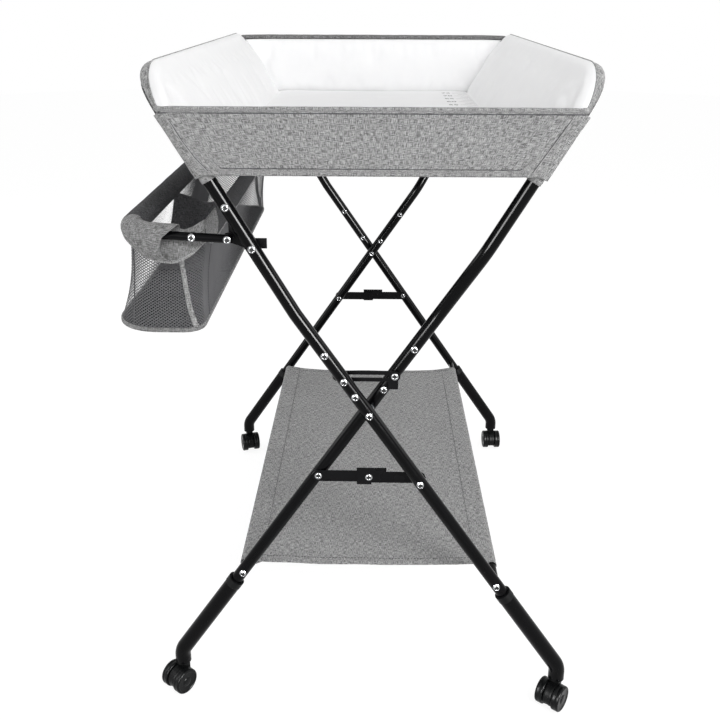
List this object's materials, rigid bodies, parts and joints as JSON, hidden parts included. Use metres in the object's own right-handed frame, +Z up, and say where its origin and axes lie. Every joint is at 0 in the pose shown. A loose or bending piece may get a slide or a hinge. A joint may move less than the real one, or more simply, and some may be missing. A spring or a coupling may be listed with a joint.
{
  "type": "folding_changing_table",
  "caption": "Folding baby changing table with an X-shaped black tube frame, padded grey and white tray, hanging mesh basket, fabric shelf and twin-wheel casters",
  "frame": {"origin": "on the floor, under the middle of the line between the two leg crossings", "axes": "+X runs across the table, away from the basket; +Y runs along the table, from the low end panel to the high one; +Z is up"},
  "size_m": [0.6944, 0.893, 0.9915],
  "materials": {
    "black_tube": "satin black powder-coated steel tube",
    "black_plate": "satin black coated steel plate",
    "plain_steel": "plain zinc-plated steel inside the frame",
    "bright_bolts": "bright nickel-plated domed heads",
    "black_plastic": "matte moulded black plastic",
    "caster_wheel": "satin moulded black nylon wheels",
    "heather_linen": "heather grey linen-look polyester",
    "white_vinyl": "soft white wipe-clean vinyl over foam",
    "black_mesh": "open black polyester mesh with a grey fabric bottom"
  },
  "bodies": {
    "outer_frame": {"outer_top_rail": "black_tube", "outer_front_leg": "black_tube", "outer_rear_leg": "black_tube", "outer_joint_sleeves": "plain_steel", "outer_joint_bolts": "bright_bolts", "outer_leg_bushes": "black_plastic", "pivot_bolts": "bright_bolts", "pivot_spacers": "plain_steel", "right_shelf_rod": "black_tube", "outer_rod_bolts": "bright_bolts", "outer_rivets": "bright_bolts", "front_basket_bracket": "black_plate", "rear_basket_bracket": "black_plate", "left_tray_wall": "heather_linen", "front_end_panel": "heather_linen", "rear_end_panel": "heather_linen", "tray_floor_pad": "white_vinyl", "shelf_panel": "heather_linen"},
    "inner_frame": {"inner_top_rail": "black_tube", "inner_front_leg": "black_tube", "inner_rear_leg": "black_tube", "inner_joint_sleeves": "plain_steel", "inner_joint_bolts": "bright_bolts", "inner_leg_bushes": "black_plastic", "left_shelf_rod": "black_tube", "inner_rod_bolts": "bright_bolts", "inner_rivets": "bright_bolts", "right_tray_wall": "heather_linen"},
    "front_outer_brace": {"front_outer_brace": "black_plate", "front_brace_rivet": "bright_bolts"},
    "front_inner_brace": {"front_inner_brace": "black_plate"},
    "rear_outer_brace": {"rear_outer_brace": "black_plate", "rear_brace_rivet": "bright_bolts"},
    "rear_inner_brace": {"rear_inner_brace": "black_plate"},
    "slotted_stay": {"slotted_stay": "black_plate"},
    "outer_front_extension": {"outer_front_extension": "black_tube", "outer_front_collar": "black_plastic", "outer_front_caster_socket": "black_plastic"},
    "outer_front_caster": {"outer_front_caster_fork": "black_plastic"},
    "outer_front_wheels": {"outer_front_caster_wheels": "caster_wheel"},
    "outer_rear_extension": {"outer_rear_extension": "black_tube", "outer_rear_collar": "black_plastic", "outer_rear_caster_socket": "black_plastic"},
    "outer_rear_caster": {"outer_rear_caster_fork": "black_plastic"},
    "outer_rear_wheels": {"outer_rear_caster_wheels": "caster_wheel"},
    "inner_front_extension": {"inner_front_extension": "black_tube", "inner_front_collar": "black_plastic", "inner_front_caster_socket": "black_plastic"},
    "inner_front_caster": {"inner_front_caster_fork": "black_plastic"},
    "inner_front_wheels": {"inner_front_caster_wheels": "caster_wheel"},
    "inner_rear_extension": {"inner_rear_extension": "black_tube", "inner_rear_collar": "black_plastic", "inner_rear_caster_socket": "black_plastic"},
    "inner_rear_caster": {"inner_rear_caster_fork": "black_plastic"},
    "inner_rear_wheels": {"inner_rear_caster_wheels": "caster_wheel"},
    "basket": {"basket_rim": "black_tube", "basket_rim_sleeve": "heather_linen", "basket_bag": "black_mesh", "basket_divider": "heather_linen", "basket_arm_bolts": "bright_bolts"}
  },
  "joints": [
    {"name": "fold", "type": "hinge", "parent": "outer_frame", "child": "inner_frame", "pos_m": [0, 0, 0.5075], "axis": [0, -1, 0], "range_deg": [0, 54], "deforming": ["tray_floor_pad", "front_end_panel", "rear_end_panel", "shelf_panel"]},
    {"name": "front_outer_brace_turn", "type": "hinge", "parent": "outer_frame", "child": "front_outer_brace", "pos_m": [0.07523, -0.407, 0.39722], "axis": [0, 1, 0], "range_deg": [0, 50]},
    {"name": "front_inner_brace_turn", "type": "hinge", "parent": "inner_frame", "child": "front_inner_brace", "pos_m": [-0.07523, -0.407, 0.39722], "axis": [0, -1, 0], "range_deg": [0, 50]},
    {"name": "rear_outer_brace_turn", "type": "hinge", "parent": "outer_frame", "child": "rear_outer_brace", "pos_m": [0.07523, 0.407, 0.39722], "axis": [0, 1, 0], "range_deg": [0, 50]},
    {"name": "rear_inner_brace_turn", "type": "hinge", "parent": "inner_frame", "child": "rear_inner_brace", "pos_m": [-0.07523, 0.407, 0.39722], "axis": [0, -1, 0], "range_deg": [0, 50]},
    {"name": "stay_turn", "type": "hinge", "parent": "inner_frame", "child": "slotted_stay", "pos_m": [0.03607, -0.407, 0.56037], "axis": [0, 1, 0], "range_deg": [0, 27]},
    {"name": "outer_front_height", "type": "slide", "parent": "outer_frame", "child": "outer_front_extension", "axis": [0.5635, 0, -0.8261], "range_m": [0, 0.06]},
    {"name": "outer_front_swivel", "type": "hinge", "parent": "outer_front_extension", "child": "outer_front_caster", "pos_m": [0.30001, -0.42, 0.048], "axis": [0, 0, 1], "continuous": true},
    {"name": "outer_front_roll", "type": "hinge", "parent": "outer_front_caster", "child": "outer_front_wheels", "pos_m": [0.29324, -0.42867, 0.0205], "axis": [0.788, -0.6157, 0], "continuous": true},
    {"name": "outer_rear_height", "type": "slide", "parent": "outer_frame", "child": "outer_rear_extension", "axis": [0.5635, 0, -0.8261], "range_m": [0, 0.06]},
    {"name": "outer_rear_swivel", "type": "hinge", "parent": "outer_rear_extension", "child": "outer_rear_caster", "pos_m": [0.30001, 0.42, 0.048], "axis": [0, 0, 1], "continuous": true},
    {"name": "outer_rear_roll", "type": "hinge", "parent": "outer_rear_caster", "child": "outer_rear_wheels", "pos_m": [0.3004, 0.40901, 0.0205], "axis": [0.9994, 0.0349, 0], "continuous": true},
    {"name": "inner_front_height", "type": "slide", "parent": "inner_frame", "child": "inner_front_extension", "axis": [-0.5635, 0, -0.8261], "range_m": [0, 0.06]},
    {"name": "inner_front_swivel", "type": "hinge", "parent": "inner_front_extension", "child": "inner_front_caster", "pos_m": [-0.30001, -0.394, 0.048], "axis": [0, 0, 1], "continuous": true},
    {"name": "inner_front_roll", "type": "hinge", "parent": "inner_front_caster", "child": "inner_front_wheels", "pos_m": [-0.30678, -0.40267, 0.0205], "axis": [0.788, -0.6157, 0], "continuous": true},
    {"name": "inner_rear_height", "type": "slide", "parent": "inner_frame", "child": "inner_rear_extension", "axis": [-0.5635, 0, -0.8261], "range_m": [0, 0.06]},
    {"name": "inner_rear_swivel", "type": "hinge", "parent": "inner_rear_extension", "child": "inner_rear_caster", "pos_m": [-0.30001, 0.394, 0.048], "axis": [0, 0, 1], "continuous": true},
    {"name": "inner_rear_roll", "type": "hinge", "parent": "inner_rear_caster", "child": "inner_rear_wheels", "pos_m": [-0.29661, 0.38354, 0.0205], "axis": [0.9511, 0.309, 0], "continuous": true},
    {"name": "basket_fold", "type": "hinge", "parent": "outer_frame", "child": "basket", "pos_m": [-0.19207, 0, 0.766], "axis": [0, 1, 0], "range_deg": [0, 45]}
  ],
  "couplings": [
    {"joint": "front_outer_brace_turn", "follows": "fold", "ratio": 0.92592},
    {"joint": "front_inner_brace_turn", "follows": "fold", "ratio": 0.92592},
    {"joint": "rear_outer_brace_turn", "follows": "fold", "ratio": 0.92592},
    {"joint": "rear_inner_brace_turn", "follows": "fold", "ratio": 0.92592},
    {"joint": "stay_turn", "follows": "fold", "ratio": 0.5}
  ]
}
